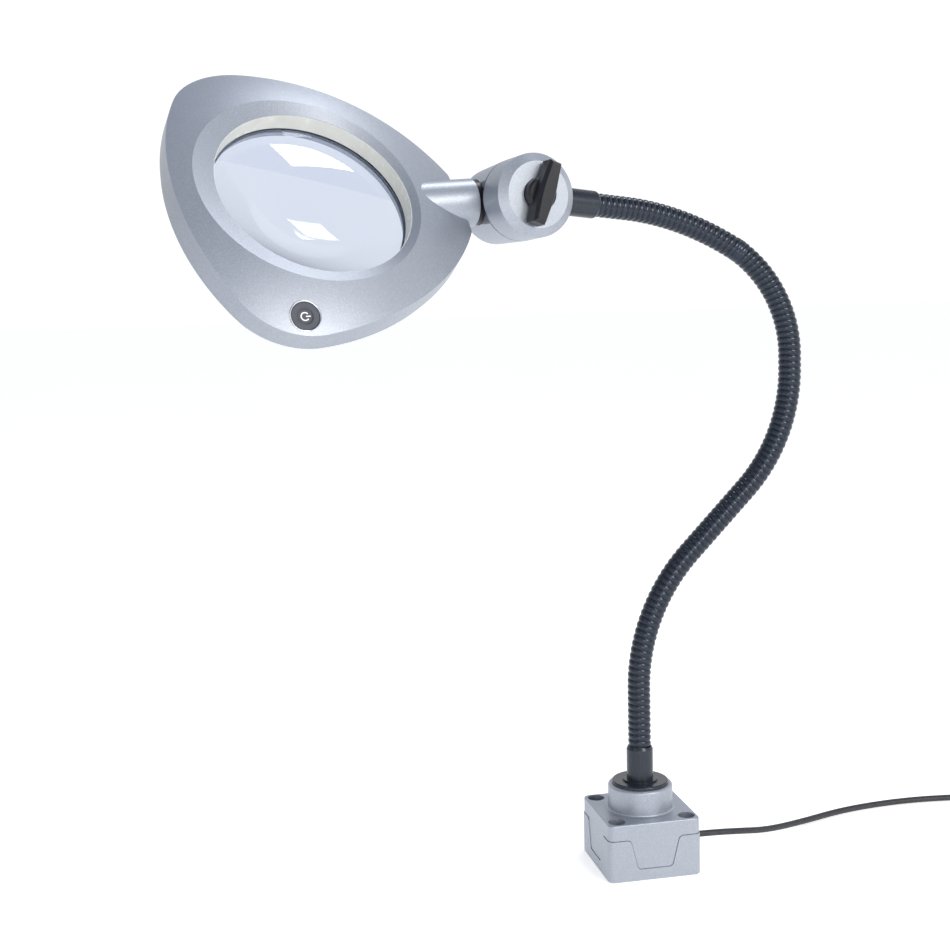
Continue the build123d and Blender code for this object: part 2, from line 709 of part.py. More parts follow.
def dome(inset):
    """Ball that the user's face of the head is cut from."""
    with Locations((0, 0, -dome_drop)):
        Sphere(DOME_RADIUS - inset, mode=Mode.INTERSECT)


def lens_ring(outer, inner=None):
    """Disc or ring around the lens axis, in the head's frame."""
    with BuildSketch() as flat:
        with Locations((LENS_SHIFT, 0)):
            Circle(outer)
            if inner:
                Circle(inner, mode=Mode.SUBTRACT)
    return flat.sketch


DISH_WALL_RADIUS = DISH_RADIUS + 3
with BuildPart() as shell_cavity:
    with BuildSketch(Plane.XY.offset(SHELL_BOTTOM - 1)):
        add(head_outline(SHELL_WALL))
    extrude(amount=40)
    dome(SHELL_WALL)
    with BuildSketch(Plane.XY.offset(SHELL_BOTTOM - 1)):
        Circle(DISH_WALL_RADIUS)
    extrude(amount=40, mode=Mode.SUBTRACT)

button_x, button_y = BUTTON_PLACE
button_z = sqrt(DOME_RADIUS**2 - button_x**2 - button_y**2) - dome_drop
button_plane = Plane(
    origin=(button_x, button_y, button_z),
    x_dir=(1, 0, 0),
    z_dir=(button_x, button_y, button_z + dome_drop),
)

with BuildPart() as head_shell:
    with BuildSketch(Plane.XY.offset(SHELL_BOTTOM)):
        add(head_outline(0))
    extrude(amount=40)
    dome(0)
    with BuildSketch(boss_plane):
        Circle(BOSS_RADIUS)
    extrude(amount=BOSS_MERGE)
    with BuildSketch(Plane.XY.offset(SHELL_BOTTOM)):
        Rectangle(4 * DISH_RADIUS, 4 * DISH_RADIUS)
    extrude(amount=-2 * BOSS_RADIUS, mode=Mode.SUBTRACT)
    add(shell_cavity.part, mode=Mode.SUBTRACT)
    with BuildSketch(Plane.XY.offset(SHELL_BOTTOM)):
        with Locations(*HEAD_SCREWS):
            Circle(4)
    extrude(amount=9)
    with BuildSketch(boss_plane):
        Circle(BOSS_RADIUS)
    extrude(amount=BOSS_LENGTH)
    with BuildSketch(Plane.XY):
        Circle(DISH_RADIUS)
    with BuildSketch(Plane.XY.offset(-DISH_DEPTH)):
        with Locations((LENS_SHIFT, 0)):
            Circle(OPENING_RADIUS)
    loft(mode=Mode.SUBTRACT)
    with BuildSketch(Plane.XY):
        Circle(DISH_RADIUS)
    extrude(amount=20, mode=Mode.SUBTRACT)
    with BuildSketch(Plane.XY.offset(SEAT_HEIGHT)):
        add(lens_ring(OPENING_RADIUS))
    extrude(amount=20, mode=Mode.SUBTRACT)
    with BuildSketch(Plane.XY.offset(SEAT_HEIGHT)):
        add(lens_ring(LENS_RADIUS + 0.4))
    extrude(amount=-20, mode=Mode.SUBTRACT)
    with BuildSketch(boss_plane):
        Circle(SPINDLE_RADIUS + RUNNING_CLEARANCE)
    extrude(amount=BORE_DEPTH, mode=Mode.SUBTRACT)
    with BuildSketch(boss_plane.offset(CLIP_PLACE - BOSS_END_DISTANCE + PAD_DISTANCE - 0.1)):
        Circle(SPINDLE_RADIUS + 1.2)
    extrude(amount=2, mode=Mode.SUBTRACT)
    with BuildSketch(button_plane.offset(-6)):
        Circle(BEZEL_RADIUS + 0.05)
    extrude(amount=12, mode=Mode.SUBTRACT)
    with BuildSketch(Plane.XY.offset(SHELL_BOTTOM)):
        with Locations(*HEAD_SCREWS):
            Circle(1.5)
    extrude(amount=7, mode=Mode.SUBTRACT)
place_in_head(head_shell, "head_shell")

LIGHT_DEPTH = 4.8
BOARD_TOP = SHELL_BOTTOM - 1.2
BOARD_THICKNESS = 1.6
LED_HEIGHT = 1.0
DIFFUSER_THICKNESS = 1.4
BACK_INSET = 1.0
with BuildPart() as head_back_cover:
    with BuildSketch(Plane.XY.offset(SHELL_BOTTOM)):
        add(head_outline(BACK_INSET))
    extrude(amount=-BACK_THICKNESS)
    chamfer(head_back_cover.faces().sort_by(Axis.Z)[0].edges(), 2.5)
    with BuildSketch(Plane.XY.offset(SHELL_BOTTOM)):
        add(lens_ring(OPENING_RADIUS - 1.5))
    extrude(amount=-BACK_THICKNESS, mode=Mode.SUBTRACT)
    with BuildSketch(Plane.XY.offset(BACK_BOTTOM)):
        add(lens_ring(LIGHT_OUTER_RADIUS, LIGHT_INNER_RADIUS))
    extrude(amount=LIGHT_DEPTH, mode=Mode.SUBTRACT)
    with BuildSketch(boss_plane.offset(-1)):
        Circle(BOSS_RADIUS + 0.3)
    extrude(amount=BOSS_LENGTH + 2, mode=Mode.SUBTRACT)
    with BuildSketch(Plane.XY.offset(BACK_BOTTOM)):
        with Locations(*HEAD_SCREWS):
            Circle(1.6)
    extrude(amount=BACK_THICKNESS, mode=Mode.SUBTRACT)
    with BuildSketch(Plane.XY.offset(BACK_BOTTOM)):
        with Locations(*HEAD_SCREWS):
            Circle(2.9)
    extrude(amount=1.6, mode=Mode.SUBTRACT)
place_in_head(head_back_cover, "head_back_cover")

SCREW_HEAD = 1.2
with BuildPart() as head_screws:
    with BuildSketch(Plane.XY.offset(BACK_BOTTOM + 0.2)):
        with Locations(*HEAD_SCREWS):
            Circle(2.7)
    extrude(amount=SCREW_HEAD)
    with BuildSketch(Plane.XY.offset(BACK_BOTTOM + SCREW_HEAD)):
        with Locations(*HEAD_SCREWS):
            Circle(1.4)
    extrude(amount=11)
    with BuildSketch(Plane.XY.offset(BACK_BOTTOM + 0.2)):
        with Locations(*HEAD_SCREWS):
            RegularPolygon(1.2, 6)
    extrude(amount=0.9, mode=Mode.SUBTRACT)
place_in_head(head_screws, "head_screws")

LENS_FOOT = LENS_TOP - LENS_EDGE
lens_curve = (LENS_RIM**2 + LENS_RISE**2) / (2 * LENS_RISE)
with BuildPart() as lens:
    with BuildSketch(Plane.XZ):
        with BuildLine():
            Line((0, LENS_TOP + LENS_RISE), (0, LENS_FOOT - LENS_RISE))
            RadiusArc((0, LENS_FOOT - LENS_RISE), (LENS_RIM, LENS_FOOT), -lens_curve)
            Polyline(
                (LENS_RIM, LENS_FOOT),
                (LENS_RADIUS, LENS_FOOT),
                (LENS_RADIUS, LENS_TOP),
                (LENS_RIM, LENS_TOP),
            )
            RadiusArc((LENS_RIM, LENS_TOP), (0, LENS_TOP + LENS_RISE), -lens_curve)
        make_face()
    revolve(axis=Axis.Z)
lens.part.locate(head_plane.location * Location((LENS_SHIFT, 0, 0)))
save(lens, "lens")

with BuildPart() as lens_gasket:
    with BuildSketch(Plane.XY.offset(LENS_TOP)):
        add(lens_ring(LENS_RADIUS + 0.2, OPENING_RADIUS + 1.2))
    extrude(amount=SEAT_HEIGHT - LENS_TOP)
place_in_head(lens_gasket, "lens_gasket")

with BuildPart() as lens_retainer:
    with BuildSketch(Plane.XY.offset(SHELL_BOTTOM)):
        add(lens_ring(LENS_RADIUS + 0.3, OPENING_RADIUS))
    extrude(amount=LENS_FOOT - SHELL_BOTTOM - 0.05)
    bottom_rim = lens_retainer.faces().sort_by(Axis.Z)[-1].edges().sort_by(SortBy.LENGTH)[0]
    chamfer(bottom_rim, 0.5)
place_in_head(lens_retainer, "lens_retainer")

with BuildPart() as led_board:
    with BuildSketch(Plane.XY.offset(BOARD_TOP)):
        add(lens_ring(LIGHT_OUTER_RADIUS - 0.5, LIGHT_INNER_RADIUS + 0.5))
    extrude(amount=-BOARD_THICKNESS)
place_in_head(led_board, "led_board")

led_circle = (LIGHT_INNER_RADIUS + LIGHT_OUTER_RADIUS) / 2
with BuildPart() as leds:
    with BuildSketch(Plane.XY.offset(BOARD_TOP - BOARD_THICKNESS)):
        with Locations((LENS_SHIFT, 0)):
            with PolarLocations(led_circle, LED_COUNT):
                Rectangle(3.5, 2.8)
    extrude(amount=-LED_HEIGHT)
place_in_head(leds, "leds")

with BuildPart() as light_diffuser:
    with BuildSketch(Plane.XY.offset(BACK_BOTTOM)):
        add(lens_ring(LIGHT_OUTER_RADIUS - 0.1, LIGHT_INNER_RADIUS + 0.1))
    extrude(amount=DIFFUSER_THICKNESS)
place_in_head(light_diffuser, "light_diffuser")

# ---------------------------------------------------------------- power button

CAP_TOP = -0.2
CAP_THICKNESS = 2.6
DISH_IN_CAP = 0.7
STEM_RADIUS = 2.2
STEM_LENGTH = 1.8
SWITCH_GAP = 0.1
SWITCH_HEIGHT = 2.8
STEM_FOOT = CAP_TOP - CAP_THICKNESS - STEM_LENGTH
SWITCH_TOP = STEM_FOOT - SWITCH_GAP - BUTTON_TRAVEL


def place_on_button(piece, name):
    """Move a piece modelled on the button's axis to its place in the head, and save it."""
    piece.part.locate(head_plane.location * button_plane.location)
    save(piece, name)


with BuildPart() as button_bezel:
    with BuildSketch(Plane.XZ):
        with BuildLine():
            Polyline(
                (CAP_RADIUS + 0.12, -3.4),
                (BEZEL_RADIUS, -3.4),
                (BEZEL_RADIUS, 0.1),
                (BEZEL_RADIUS - 0.35, 0.4),
                (CAP_RADIUS + 0.12, 0.1),
                close=True,
            )
        make_face()
    revolve(axis=Axis.Z)
place_on_button(button_bezel, "button_bezel")

with BuildPart() as power_button:
    with BuildSketch(Plane.XZ):
        with BuildLine():
            Polyline(
                (0, STEM_FOOT),
                (STEM_RADIUS, STEM_FOOT),
                (STEM_RADIUS, CAP_TOP - CAP_THICKNESS),
                (CAP_RADIUS, CAP_TOP - CAP_THICKNESS),
                (CAP_RADIUS, CAP_TOP - 0.3),
                (CAP_RADIUS - 0.4, CAP_TOP),
                (CAP_RADIUS - 3.2, CAP_TOP),
                (CAP_RADIUS - 4.0, CAP_TOP - DISH_IN_CAP),
                (0, CAP_TOP - DISH_IN_CAP),
                close=True,
            )
        make_face()
    revolve(axis=Axis.Z)
place_on_button(power_button, "power_button")

with BuildPart() as push_switch:
    with BuildSketch(Plane.XY.offset(SWITCH_TOP - SWITCH_HEIGHT)):
        RectangleRounded(6, 6, 0.5)
    extrude(amount=SWITCH_HEIGHT - 0.6)
    with BuildSketch(Plane.XY.offset(SWITCH_TOP - 0.6)):
        Circle(1.7)
    extrude(amount=0.6)
place_on_button(push_switch, "push_switch")

with BuildPart() as control_board:
    with BuildSketch(Plane.XY.offset(SWITCH_TOP - SWITCH_HEIGHT)):
        Rectangle(16, 11)
    extrude(amount=-1.2)
place_on_button(control_board, "control_board")

# ---------------------------------------------------------------- cable

CABLE_EXIT = HALF_BASE + 2
CABLE_ROUTE = [
    (CABLE_EXIT, 0, CABLE_HEIGHT),
    (46, 0, CABLE_HEIGHT),
    (66, 4, 11.5),
    (90, 13, 6.5),
    (122, 30, 2.6),
    (160, 45, 2.02),
    (206, 50, 2.05),
    (248, 45, 2.02),
    (282, 38, 2.02),
]
PLUG_RADIUS = 5.2
PLUG_LENGTH = 28.0
BARREL_RADIUS = 2.75
BARREL_LENGTH = 9.5


def cable_radii(route):
    """Largest arc that each corner's two runs leave room for."""
    radii = []
    for before, corner, after in zip(route, route[1:], route[2:]):
        run_in = corner - before
        run_out = after - corner
        turn = radians(run_in.get_angle(run_out))
        radii.append(0.45 * min(run_in.length, run_out.length) / tan(turn / 2))
    return radii


def free_cable(points):
    """Round cable along a route, with arcs as large as its runs allow."""
    radii = cable_radii(points)
    cable = neck_tube(points, radii, CABLE_RADIUS, None)
    length = cable.part.volume / (pi * CABLE_RADIUS**2)
    print("cable arcs", [round(radius, 1) for radius in radii], "length", round(length, 1))
    return cable, length


with BuildPart() as cable_tail:
    with BuildSketch(Plane.YZ.offset(-4)):
        with Locations((0, CABLE_HEIGHT)):
            Circle(CABLE_RADIUS)
    extrude(amount=CABLE_EXIT + 4)
save(cable_tail, "cable_tail")

lead_points = [Vector(*point) for point in CABLE_ROUTE]
cable_lead, lead_length = free_cable(lead_points)
save(cable_lead, "cable_lead")

# The lead runs tangentially into the outer turns of the coil.
last_run = (lead_points[-1] - lead_points[-2]).normalized()
COIL_HALF_WIDTH = COIL_WIDTH_TURNS * CABLE_RADIUS
COIL_OUTER_TURN = COIL_MEAN_RADIUS + COIL_HALF_WIDTH - CABLE_RADIUS
coil_height = COIL_HEIGHT_TURNS * 2 * CABLE_RADIUS
coil_centre = lead_points[-1] + Vector(0, 0, 1).cross(last_run) * COIL_OUTER_TURN
with BuildPart() as cable_coil:
    with BuildSketch(Plane.XZ):
        with Locations((COIL_MEAN_RADIUS, coil_height / 2)):
            RectangleRounded(2 * COIL_HALF_WIDTH, coil_height, CABLE_RADIUS - 0.1)
    revolve(axis=Axis.Z)
cable_coil.part.locate(Location((coil_centre.X, coil_centre.Y, 0)))
save(cable_coil, "cable_coil")

end_x = coil_centre.X + COIL_OUTER_TURN
end_y = coil_centre.Y
end_z = coil_height - CABLE_RADIUS
END_ROUTE = [
    (end_x, end_y, end_z),
    (end_x + 1, end_y + 13, end_z - 3.5),
    (end_x + 1.4, end_y + 29, PLUG_RADIUS),
    (end_x + 0.6, end_y + 43, PLUG_RADIUS),
]
end_points = [Vector(*point) for point in END_ROUTE]
cable_end, end_length = free_cable(end_points)
save(cable_end, "cable_end")
coil_length = CABLE_LENGTH - lead_length - end_length
print("coil length", round(coil_length), "turns", round(coil_length / (2 * pi * COIL_MEAN_RADIUS), 2))

plug_plane = Plane(origin=end_points[-1], z_dir=end_points[-1] - end_points[-2])
with BuildPart() as cable_plug:
    with BuildSketch(Plane.XZ):
        with BuildLine():
            Polyline(
                (0, 0),
                (CABLE_RADIUS + 0.8, 0),
                (CABLE_RADIUS + 1.6, 10),
                (PLUG_RADIUS, 12),
                (PLUG_RADIUS, PLUG_LENGTH - 1),
                (PLUG_RADIUS - 1, PLUG_LENGTH),
                (0, PLUG_LENGTH),
                close=True,
            )
        make_face()
    revolve(axis=Axis.Z)
cable_plug.part.locate(plug_plane.location)
save(cable_plug, "cable_plug")

with BuildPart() as plug_barrel:
    with BuildSketch(plug_plane.offset(PLUG_LENGTH)):
        Circle(BARREL_RADIUS)
        Circle(BARREL_RADIUS - 1.5, mode=Mode.SUBTRACT)
    extrude(amount=BARREL_LENGTH)
save(plug_barrel, "plug_barrel")
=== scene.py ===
"""Magnifying lamp: surfaces, gooseneck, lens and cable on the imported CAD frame. Metres, +Z up."""

import json
from math import atan2, cos, pi, radians, sin, sqrt, tan

import bmesh
import bpy
from mathutils import Matrix, Quaternion, Vector


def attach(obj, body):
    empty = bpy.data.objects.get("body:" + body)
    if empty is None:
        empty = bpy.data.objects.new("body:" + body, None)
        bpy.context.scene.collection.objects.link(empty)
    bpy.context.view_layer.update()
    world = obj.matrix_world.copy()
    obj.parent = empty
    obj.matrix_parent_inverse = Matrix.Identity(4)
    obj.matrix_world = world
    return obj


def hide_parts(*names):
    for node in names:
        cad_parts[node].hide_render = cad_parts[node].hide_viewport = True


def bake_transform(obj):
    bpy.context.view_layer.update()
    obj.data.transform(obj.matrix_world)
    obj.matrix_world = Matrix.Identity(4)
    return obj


MM = 0.001
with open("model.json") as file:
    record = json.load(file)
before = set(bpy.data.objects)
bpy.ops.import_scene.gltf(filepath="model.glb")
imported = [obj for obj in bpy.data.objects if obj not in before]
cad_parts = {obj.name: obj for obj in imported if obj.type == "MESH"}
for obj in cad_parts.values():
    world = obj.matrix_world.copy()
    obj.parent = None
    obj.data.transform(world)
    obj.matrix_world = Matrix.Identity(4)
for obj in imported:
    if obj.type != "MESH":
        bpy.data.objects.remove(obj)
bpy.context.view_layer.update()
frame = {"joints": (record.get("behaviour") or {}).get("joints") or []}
joints = {joint["name"]: joint for joint in frame["joints"]}

# ---------------------------------------------------------------- dimensions shared with the CAD

NECK_RADIUS = 7.1 * MM
NECK_BASE = Vector((0, 0, 66.4)) * MM
NECK_CORNERS = [(0, 0, 161), (105.5, 14, 261.5), (107, 18, 356.5), (41, 22.5, 401)]
NECK_END = Vector((-64.1, -2.0, 412.5)) * MM
NECK_BEND_RADII = [113, 104, 80, 150]
NECK_SOCKET = 35.4 * MM
BEND_SECTION = 24 * MM
RIB_PITCH = 3.8 * MM
RIB_DEPTH = 0.75 * MM
RIB_STEPS = 10
NECK_SIDES = 40

HEAD_SWIVEL = 34.3
BOSS_RISE = 5.5
BOSS_END = 4.0 * MM
BOSS_REACH = 107.0 * MM
BOSS_DEPTH = 12.0 * MM
LENS_SHIFT = 4.3 * MM
LENS_RADIUS = 60.0 * MM
LENS_RIM = 58.0 * MM
LENS_TOP = -14.0 * MM
LENS_EDGE = 4.0 * MM
LENS_RISE = 6.0 * MM
SEAM_RADIUS = 24.2 * MM
SEAM_HALF_WIDTH = 0.38 * MM
OPENING_RADIUS = 57.3 * MM
LINING_THICKNESS = 0.3 * MM
LINING_FOOT = -13.3 * MM
LINING_TOP = -3.3 * MM
ROUND_SIDES = 128

DOME_RADIUS = 270.0
DISH_RADIUS = 65.5
BUTTON_PLACE = (-25.7, -83.2)
CAP_FLOOR = -0.9
SYMBOL_RADIUS = 2.15 * MM
SYMBOL_STROKE = 0.62 * MM
SYMBOL_THICKNESS = 0.08 * MM
SYMBOL_HALF_GAP = radians(38)

CABLE_DIAMETER = 4.0 * MM
CABLE_EXIT = (31.5, 0, 14)
CABLE_ROUTE = [
    CABLE_EXIT,
    (46, 0, 14),
    (66, 4, 11.5),
    (90, 13, 6.5),
    (122, 30, 2.6),
    (160, 45, 2.02),
    (206, 50, 2.05),
    (248, 45, 2.02),
]
CABLE_LEAD_END = Vector((282, 38, 2.02))
COIL_TURNS = 11.2
CABLE_END = [(314.2, 76.5, 10.5), (314.6, 92.5, 5.2), (313.8, 106.5, 5.2)]
COIL_OUTER_TURN = 26.0
COIL_LAYER_RISE = 4.0
COIL_COLUMNS = 3
COIL_TURN_SPACING = 4.1


def smooth(mesh):
    """Shade every face of a mesh smooth."""
    for face in mesh.polygons:
        face.use_smooth = True


def new_object(name, mesh):
    """Link a mesh to the scene as an object."""
    piece = bpy.data.objects.new(name, mesh)
    bpy.context.scene.collection.objects.link(piece)
    return piece


# ---------------------------------------------------------------- camera

CAMERA_PLACE = Vector((-0.27767, -0.86474, 0.3695))
CAMERA_RIGHT = Vector((0.97855, -0.20459, -0.02623))
CAMERA_UP = Vector((0.05275, 0.12531, 0.99077))
CAMERA_SENSOR = 36
CAMERA_LENS = 56.84


def make_camera():
    """Camera at the photograph's viewing angle."""
    data = bpy.data.cameras.new("camera")
    data.sensor_width = CAMERA_SENSOR
    data.lens = CAMERA_LENS
    camera = bpy.data.objects.new("camera", data)
    right = CAMERA_RIGHT.normalized()
    back = right.cross(CAMERA_UP).normalized()
    up = back.cross(right)
    turn = Matrix((right, up, back)).transposed().to_4x4()
    camera.matrix_world = Matrix.Translation(CAMERA_PLACE) @ turn
    bpy.context.scene.collection.objects.link(camera)
    bpy.context.scene.camera = camera


make_camera()

# ---------------------------------------------------------------- node materials


class Nodes:
    """Small helper that builds a node material one call at a time."""

    def __init__(self, name):
        self.material = bpy.data.materials.new(name)
        self.material.use_nodes = True
        self.tree = self.material.node_tree
        self.tree.nodes.clear()
        self.shader = self.tree.nodes.new("ShaderNodeBsdfPrincipled")
        output = self.tree.nodes.new("ShaderNodeOutputMaterial")
        self.tree.links.new(self.shader.outputs["BSDF"], output.inputs["Surface"])
        self.place = self.tree.nodes.new("ShaderNodeTexCoord").outputs["Object"]

    def set(self, **values):
        """Set constants on the shader's own sockets."""
        for name, value in values.items():
            self.shader.inputs[name.replace("_", " ")].default_value = value

    def link(self, source, target):
        self.tree.links.new(source, target)

    def noise(self, scale, detail=3.0, roughness=0.5, stretch=None):
        """Noise of so many cells to the metre, stretched along the axes if asked."""
        texture = self.tree.nodes.new("ShaderNodeTexNoise")
        texture.inputs["Scale"].default_value = scale
        texture.inputs["Detail"].default_value = detail
        texture.inputs["Roughness"].default_value = roughness
        place = self.place
        if stretch:
            mapping = self.tree.nodes.new("ShaderNodeMapping")
            mapping.inputs["Scale"].default_value = stretch
            self.link(place, mapping.inputs["Vector"])
            place = mapping.outputs["Vector"]
        self.link(place, texture.inputs["Vector"])
        return texture.outputs["Fac"]

    def cells(self, scale):
        """A random value for each of so many cells to the metre."""
        texture = self.tree.nodes.new("ShaderNodeTexVoronoi")
        texture.inputs["Scale"].default_value = scale
        self.link(self.place, texture.inputs["Vector"])
        split = self.tree.nodes.new("ShaderNodeSeparateColor")
        self.link(texture.outputs["Color"], split.inputs["Color"])
        return split.outputs["Red"]

    def ramp(self, source, stops):
        """Colours at places along a value from 0 to 1."""
        ramp = self.tree.nodes.new("ShaderNodeValToRGB")
        elements = ramp.color_ramp.elements
        while len(elements) < len(stops):
            elements.new(0.5)
        for element, (place, colour) in zip(elements, stops):
            element.position = place
            element.color = (*colour, 1)
        self.link(source, ramp.inputs["Fac"])
        return ramp.outputs["Color"]

    def range(self, source, low, high, start=0.0, end=1.0):
        """A value mapped from start..end to low..high."""
        node = self.tree.nodes.new("ShaderNodeMapRange")
        node.inputs["From Min"].default_value = start
        node.inputs["From Max"].default_value = end
        node.inputs["To Min"].default_value = low
        node.inputs["To Max"].default_value = high
        self.link(source, node.inputs["Value"])
        return node.outputs["Result"]

    def mix(self, factor, first, second, blend="MIX"):
        """Two colours mixed by a factor socket or a number."""
        node = self.tree.nodes.new("ShaderNodeMix")
        node.data_type = "RGBA"
        node.blend_type = blend
        for value, name in ((factor, 0), (first, 6), (second, 7)):
            if isinstance(value, bpy.types.NodeSocket):
                self.link(value, node.inputs[name])
            elif isinstance(value, tuple):
                node.inputs[name].default_value = (*value, 1)
            else:
                node.inputs[name].default_value = value
        return node.outputs[2]

    def bump(self, height, depth, strength=1.0):
        """Bump from a height value; depth in millimetres."""
        node = self.tree.nodes.new("ShaderNodeBump")
        node.inputs["Strength"].default_value = strength
        node.inputs["Distance"].default_value = depth * MM
        self.link(height, node.inputs["Height"])
        self.link(node.outputs["Normal"], self.shader.inputs["Normal"])


def paint(material, *names):
    """Give CAD nodes or pieces one material."""
    for name in names:
        data = bpy.data.objects[name].data
        data.materials.clear()
        data.materials.append(material)


def powder_coat():
    """Silver-grey satin powder coat: fine orange peel and bright metallic flecks."""
    coat = Nodes("silver_powder_coat")
    patches = coat.noise(14, 2)
    tint = coat.ramp(patches, [(0.3, (0.32, 0.35, 0.405)), (0.7, (0.355, 0.385, 0.435))])
    flecks = coat.ramp(coat.cells(4200), [(0.6, (0, 0, 0)), (1.0, (1, 1, 1))])
    colour = coat.mix(flecks, tint, (0.47, 0.50, 0.56))
    coat.link(colour, coat.shader.inputs["Base Color"])
    coat.set(Metallic=0.62, Roughness=0.4)
    grain = coat.noise(1100, 4, 0.6)
    coat.link(coat.range(grain, 0.36, 0.46, 0.3, 0.7), coat.shader.inputs["Roughness"])
    coat.bump(grain, 0.03, 0.35)
    return coat.material


def black_satin():
    """Black coated metal of the ferrules: satin, with faint lengthwise drawing lines."""
    coat = Nodes("black_satin_metal")
    lines = coat.noise(1400, 2, 0.5, (1, 1, 0.08))
    colour = coat.ramp(lines, [(0.3, (0.021, 0.027, 0.039)), (0.75, (0.025, 0.032, 0.046))])
    coat.link(colour, coat.shader.inputs["Base Color"])
    coat.set(Metallic=0.3, Roughness=0.3)
    coat.link(coat.range(lines, 0.24, 0.3), coat.shader.inputs["Roughness"])
    coat.bump(lines, 0.002, 0.08)
    return coat.material


def neck_coat():
    """Glossier black coat of the gooseneck, with painted shade that darkens the grooves between its
    ribs to near black.
    """
    coat = Nodes("gooseneck_black")
    groove_shade_mask = coat.tree.nodes.new("ShaderNodeAttribute")
    groove_shade_mask.attribute_name = "groove_shade_mask"
    crest = groove_shade_mask.outputs["Fac"]
    scuffs = coat.noise(650, 5, 0.65)
    scuffed_coat = coat.mix(scuffs, (0.014, 0.021, 0.036), (0.034, 0.045, 0.066))
    # Painted shade: near black in the grooves between the ribs, the scuffed coat colour on their
    # crests.
    colour = coat.mix(crest, (0.004, 0.005, 0.007), scuffed_coat)
    coat.link(colour, coat.shader.inputs["Base Color"])
    coat.set(Metallic=0.5, Roughness=0.22)
    coat.link(coat.range(scuffs, 0.16, 0.3, 0.3, 0.7), coat.shader.inputs["Roughness"])
    coat.bump(scuffs, 0.008, 0.2)
    return coat.material


def black_plastic():
    """Moulded black plastic with a fine spark-eroded grain."""
    plastic = Nodes("black_moulded_plastic")
    grain = plastic.noise(1500, 3, 0.6)
    clouds = plastic.noise(60, 2)
    colour = plastic.ramp(clouds, [(0.3, (0.007, 0.008, 0.011)), (0.7, (0.012, 0.013, 0.018))])
    plastic.link(colour, plastic.shader.inputs["Base Color"])
    plastic.set(Roughness=0.35)
    plastic.link(plastic.range(grain, 0.28, 0.45), plastic.shader.inputs["Roughness"])
    plastic.set(Specular_IOR_Level=0.35)
    plastic.bump(grain, 0.02, 0.4)
    return plastic.material


def cable_sleeve():
    """Black flexible sleeve, slightly dusty, with a soft sheen."""
    sleeve = Nodes("black_cable_sleeve")
    dust = sleeve.noise(300, 5, 0.7)
    colour = sleeve.ramp(dust, [(0.35, (0.016, 0.017, 0.021)), (0.8, (0.045, 0.046, 0.052))])
    sleeve.link(colour, sleeve.shader.inputs["Base Color"])
    sleeve.set(Roughness=0.5)
    sleeve.link(sleeve.range(dust, 0.42, 0.6), sleeve.shader.inputs["Roughness"])
    sleeve.bump(dust, 0.03, 0.3)
    return sleeve.material


def zinc_steel():
    """Zinc-plated steel with fine turning lines."""
    steel = Nodes("zinc_plated_steel")
    lines = steel.noise(700, 3, 0.6)
    colour = steel.ramp(lines, [(0.3, (0.42, 0.43, 0.45)), (0.7, (0.66, 0.67, 0.68))])
    steel.link(colour, steel.shader.inputs["Base Color"])
    steel.set(Metallic=1.0, Roughness=0.3)
    steel.link(steel.range(lines, 0.22, 0.4), steel.shader.inputs["Roughness"])
    steel.bump(lines, 0.01, 0.3)
    return steel.material


def brass():
    """Turned brass of the knob's insert."""
    metal = Nodes("turned_brass")
    lines = metal.noise(700, 3, 0.6)
    colour = metal.ramp(lines, [(0.3, (0.50, 0.36, 0.14)), (0.7, (0.72, 0.54, 0.25))])
    metal.link(colour, metal.shader.inputs["Base Color"])
    metal.set(Metallic=1.0, Roughness=0.3)
    metal.bump(lines, 0.01, 0.3)
    return metal.material


def bright_rim():
    """Bright turned rim round the button."""
    metal = Nodes("bright_turned_rim")
    lines = metal.noise(900, 3, 0.6)
    colour = metal.ramp(lines, [(0.3, (0.72, 0.74, 0.78)), (0.7, (0.86, 0.87, 0.9))])
    metal.link(colour, metal.shader.inputs["Base Color"])
    metal.set(Metallic=1.0, Roughness=0.18)
    metal.link(metal.range(lines, 0.14, 0.26), metal.shader.inputs["Roughness"])
    metal.bump(lines, 0.006, 0.3)
    return metal.material


def button_plastic():
    """Dark slate plastic of the power button."""
    plastic = Nodes("dark_button_plastic")
    grain = plastic.noise(1800, 3, 0.6)
    clouds = plastic.noise(120, 2)
    colour = plastic.ramp(clouds, [(0.3, (0.045, 0.048, 0.065)), (0.7, (0.06, 0.064, 0.085))])
    plastic.link(colour, plastic.shader.inputs["Base Color"])
    plastic.set(Roughness=0.5)
    plastic.link(plastic.range(grain, 0.42, 0.58), plastic.shader.inputs["Roughness"])
    plastic.bump(grain, 0.015, 0.4)
    return plastic.material


def printed_white():
    """White print of the power symbol."""
    ink = Nodes("printed_white")
    grain = ink.noise(2500, 3, 0.6)
    colour = ink.ramp(grain, [(0.3, (0.86, 0.87, 0.9)), (0.7, (0.95, 0.95, 0.97))])
    ink.link(colour, ink.shader.inputs["Base Color"])
    ink.set(Roughness=0.45)
    ink.bump(grain, 0.005, 0.3)
    return ink.material


def board_lacquer():
    """White lacquered circuit board."""
    board = Nodes("white_board_lacquer")
    weave = board.noise(900, 2, 0.5, (1, 0.2, 1))
    colour = board.ramp(weave, [(0.3, (0.78, 0.80, 0.78)), (0.7, (0.88, 0.89, 0.87))])
    board.link(colour, board.shader.inputs["Base Color"])
    board.set(Roughness=0.35)
    board.bump(weave, 0.01, 0.3)
    return board.material


def led_phosphor():
    """Yellow phosphor under clear resin."""
    led = Nodes("led_phosphor")
    grain = led.noise(2500, 3, 0.6)
    colour = led.ramp(grain, [(0.3, (0.85, 0.62, 0.12)), (0.7, (0.95, 0.80, 0.3))])
    led.link(colour, led.shader.inputs["Base Color"])
    led.set(Roughness=0.25)
    led.bump(grain, 0.01, 0.3)
    return led.material


